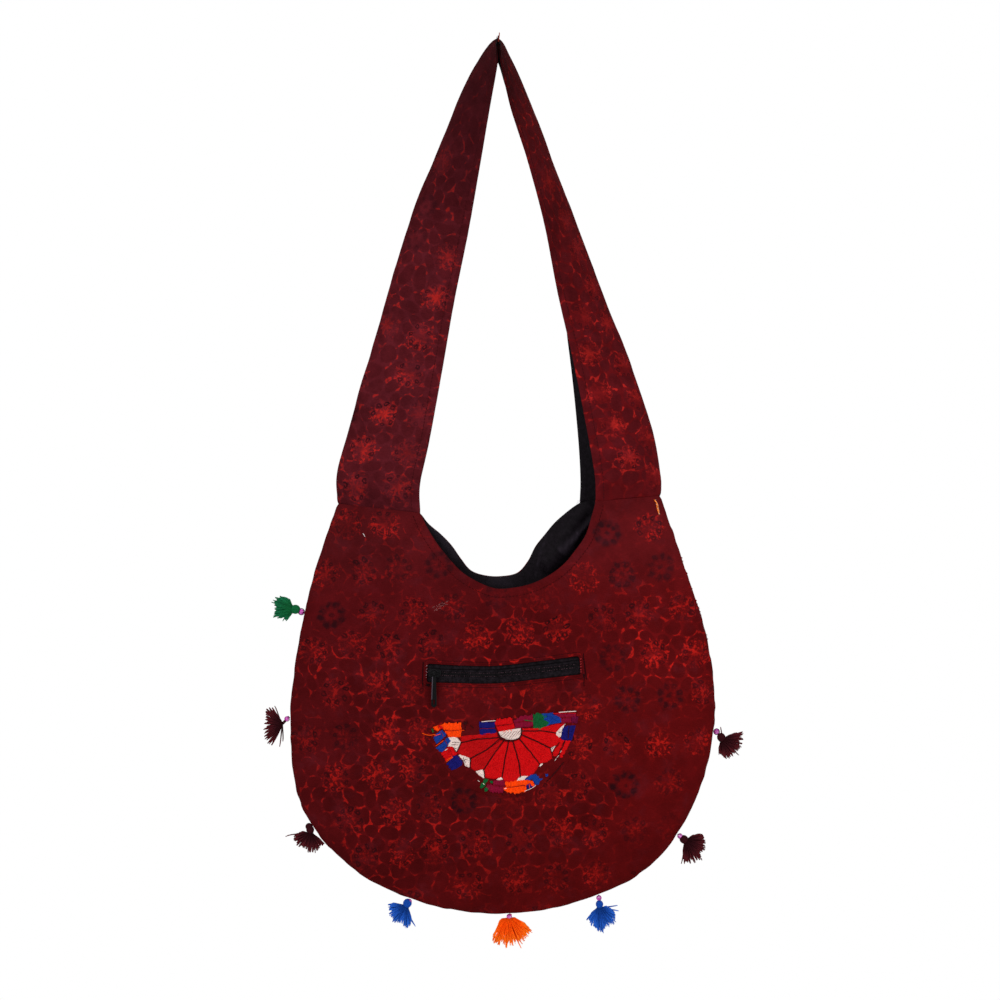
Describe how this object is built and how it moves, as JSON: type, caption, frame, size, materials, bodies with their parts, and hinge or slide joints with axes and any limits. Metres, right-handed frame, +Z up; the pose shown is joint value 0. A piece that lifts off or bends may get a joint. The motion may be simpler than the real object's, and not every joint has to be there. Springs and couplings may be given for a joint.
{
  "type": "embroidered shoulder bag",
  "caption": "Soft block-printed cotton shoulder bag with a wide folded strap, black lining, front zip pocket, half-round folk-embroidered patch and beaded tassels round its seam.",
  "frame": {"origin": "the point the bag hangs from, under the apex of the strap", "axes": "+Z up along the hanging bag, -Y out of the front panel with the zip and the patch, +X to the right seen from the front"},
  "size_m": [0.4632, 0.1264, 0.8618],
  "materials": {
    "printed_cotton": "block-printed cotton, maroon with red and dark flowers",
    "black_lining": "plain black cotton",
    "zip_tape": "black woven tape",
    "zip_nylon": "black nylon coil",
    "zip_metal": "black lacquer",
    "embroidery": "cotton satin stitch in red, white, blue, orange, wine and green",
    "tassel_green": "cotton yarn",
    "tassel_maroon": "cotton yarn",
    "tassel_blue": "cotton yarn",
    "tassel_orange": "cotton yarn",
    "bead_glass": "pink glass"
  },
  "bodies": {
    "bag": {"front_panel": "printed_cotton", "back_panel": "printed_cotton", "lining_front": "black_lining", "lining_back": "black_lining", "strap": "printed_cotton", "strap_lining": "black_lining", "zip_tape_upper": "zip_tape", "zip_tape_lower": "zip_tape", "zip_coil": "zip_nylon", "zip_slider": "zip_metal", "embroidered_patch": "embroidery", "tassel_1": "tassel_green", "tassel_2": "tassel_maroon", "tassel_3": "tassel_maroon", "tassel_4": "tassel_blue", "tassel_5": "tassel_orange", "tassel_6": "tassel_blue", "tassel_7": "tassel_maroon", "tassel_8": "tassel_maroon", "bead_1": "bead_glass", "bead_2": "bead_glass", "bead_3": "bead_glass", "bead_4": "bead_glass", "bead_5": "bead_glass", "bead_6": "bead_glass", "bead_7": "bead_glass", "bead_8": "bead_glass"},
    "pull_tab": {"zip_pull": "zip_metal"}
  },
  "joints": [
    {"name": "pull_swing", "type": "hinge", "parent": "bag", "child": "pull_tab", "pos_m": [-0.0603, -0.02531, -0.5971], "axis": [-1, 0, 0], "range_deg": [0, 170]}
  ]
}
